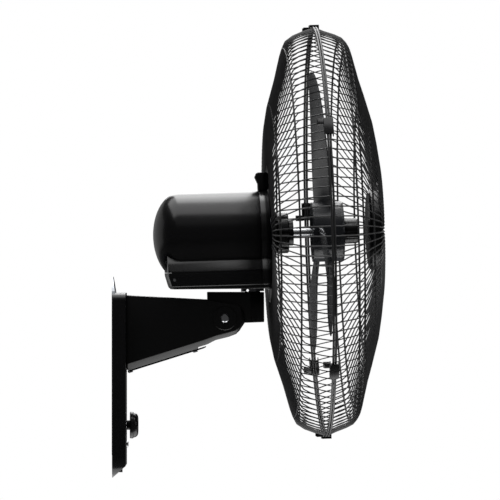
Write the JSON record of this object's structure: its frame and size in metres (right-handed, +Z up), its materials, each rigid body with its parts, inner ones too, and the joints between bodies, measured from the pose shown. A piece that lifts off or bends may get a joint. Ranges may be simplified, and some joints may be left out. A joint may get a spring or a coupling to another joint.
{
  "type": "wall mounted fan",
  "caption": "Wall mounted fan: control box and hollow arm carry a tilting neck, a sweeping motor head and bladed rotor in a round wire cage.",
  "frame": {"origin": "on the wall plane, at the middle of the wall plate's back face", "axes": "+Z up, the wall is the plane Y = 0 and the fan blows towards -Y"},
  "size_m": [0.4999, 0.3308, 0.549],
  "materials": {
    "black_gloss": "smooth black moulded plastic with soft reflections",
    "black_satin": "fine-grained satin black",
    "black_wire": "black coated steel wire, glossy",
    "zinc_plate": "zinc plated sheet",
    "bright_steel": "bright plated steel",
    "cast_metal": "die cast, as it left the die",
    "bronze": "sintered bronze",
    "core_steel": "laminated core, dull",
    "copper_wire": "varnished copper wire",
    "cream_plastic": "off-white moulded plastic",
    "smoked_blade": "smoked, slightly see-through plastic"
  },
  "bodies": {
    "wall_bracket": {"wall_plate": "zinc_plate", "wall_box": "black_gloss", "box_screw_upper": "bright_steel", "box_screw_lower": "bright_steel", "speed_switch": "cream_plastic", "terminal_block": "cream_plastic", "cord_grommet": "black_satin", "arm": "black_satin", "arm_bottom_cover": "black_gloss", "arm_cover_screw_rear": "bright_steel", "arm_cover_screw_front": "bright_steel", "capacitor": "black_gloss", "tilt_bolt": "bright_steel", "tilt_nut": "bright_steel", "tilt_washer_left": "bronze", "tilt_washer_right": "bronze"},
    "knob": {"speed_knob": "black_gloss", "switch_shaft": "bright_steel"},
    "neck": {"neck_bracket": "black_satin", "swivel_spindle": "cast_metal", "spindle_washer": "bright_steel", "spindle_nut": "bright_steel", "link_anchor": "zinc_plate"},
    "head": {"motor_cover": "black_gloss", "base_cover": "black_gloss", "front_shroud": "black_gloss", "cover_screw_left": "bright_steel", "cover_screw_right": "bright_steel", "front_bracket": "cast_metal", "rear_bracket": "cast_metal", "stator_core": "core_steel", "winding_front": "copper_wire", "winding_rear": "copper_wire", "front_bearing": "bronze", "rear_bearing": "bronze", "gearbox_case": "cast_metal", "gearbox_lid": "zinc_plate", "rear_grille": "black_wire", "front_grille": "black_wire", "grille_plate": "black_satin", "grille_nut": "black_gloss", "badge_disc": "black_gloss", "badge_cup": "black_gloss"},
    "worm_wheel": {"worm_wheel": "cream_plastic"},
    "output_gear": {"output_gear": "cream_plastic"},
    "link_bar": {"link_bar": "zinc_plate"},
    "rotor": {"motor_shaft": "bright_steel", "rotor_core": "core_steel", "drive_pin": "bright_steel", "fan_blades": "smoked_blade", "spinner_nut": "black_gloss"},
    "rim_clip_1": {"rim_clip_1": "black_gloss"},
    "rim_clip_2": {"rim_clip_2": "black_gloss"},
    "rim_clip_3": {"rim_clip_3": "black_gloss"},
    "rim_clip_4": {"rim_clip_4": "black_gloss"},
    "rim_clip_5": {"rim_clip_5": "black_gloss"},
    "rim_clip_6": {"rim_clip_6": "black_gloss"}
  },
  "joints": [
    {"name": "head_tilt", "type": "hinge", "parent": "wall_bracket", "child": "neck", "pos_m": [0, -0.1365, 0.0716], "axis": [1, 0, 0], "range_deg": [-5.24, 24.76]},
    {"name": "head_swing", "type": "hinge", "parent": "neck", "child": "head", "pos_m": [0, -0.16972, 0.11364], "axis": [0, 0.0307, 0.9995], "range_deg": [-43.3, 36.7]},
    {"name": "output_gear_turn", "type": "hinge", "parent": "head", "child": "output_gear", "pos_m": [-0.00357, -0.10761, 0.11973], "axis": [0, 0.0307, 0.9995], "range_deg": [-83.4, 98.2]},
    {"name": "worm_wheel_turn", "type": "hinge", "parent": "head", "child": "worm_wheel", "pos_m": [0.01251, -0.08766, 0.11912], "axis": [0, 0.0307, 0.9995], "range_deg": [-442, 375]},
    {"name": "link_bar_swing", "type": "hinge", "parent": "output_gear", "child": "link_bar", "pos_m": [0.01089, -0.10865, 0.11977], "axis": [0, 0.0307, 0.9995], "range_deg": [-98.2, 83.4]},
    {"name": "rotor_spin", "type": "hinge", "parent": "head", "child": "rotor", "pos_m": [0.00484, -0.2518, 0.17619], "axis": [0.0576, -0.9979, 0.0307], "continuous": true},
    {"name": "speed_knob_turn", "type": "hinge", "parent": "wall_bracket", "child": "knob", "pos_m": [0, -0.0058, -0.0583], "axis": [0, -1, 0], "range_deg": [-135, 135]},
    {"name": "rim_clip_1_open", "type": "hinge", "parent": "head", "child": "rim_clip_1", "pos_m": [0.00493, -0.24575, 0.42188], "axis": [0.9983, 0.0575, -0.0018], "range_deg": [0, 75]},
    {"name": "rim_clip_2_open", "type": "hinge", "parent": "head", "child": "rim_clip_2", "pos_m": [-0.20755, -0.26177, 0.29944], "axis": [0.4992, 0.0554, 0.8647], "range_deg": [0, 75]},
    {"name": "rim_clip_3_open", "type": "hinge", "parent": "head", "child": "rim_clip_3", "pos_m": [-0.1774, -0.26886, 0.01219], "axis": [-0.668, -0.0157, 0.744], "range_deg": [0, 75]},
    {"name": "rim_clip_4_open", "type": "hinge", "parent": "head", "child": "rim_clip_4", "pos_m": [0.00493, -0.26085, -0.06941], "axis": [-0.9983, -0.0575, 0.0018], "range_deg": [0, 75]},
    {"name": "rim_clip_5_open", "type": "hinge", "parent": "head", "child": "rim_clip_5", "pos_m": [0.18726, -0.24784, 0.01155], "axis": [-0.668, -0.0613, -0.7416], "range_deg": [0, 75]},
    {"name": "rim_clip_6_open", "type": "hinge", "parent": "head", "child": "rim_clip_6", "pos_m": [0.24893, -0.23845, 0.20148], "axis": [0.1044, -0.0245, -0.9942], "range_deg": [0, 75]}
  ],
  "couplings": [
    {"joint": "output_gear_turn", "follows": "head_swing", "ratio": -2.25},
    {"joint": "worm_wheel_turn", "follows": "head_swing", "ratio": 10.125},
    {"joint": "link_bar_swing", "follows": "head_swing", "ratio": 2.25}
  ]
}
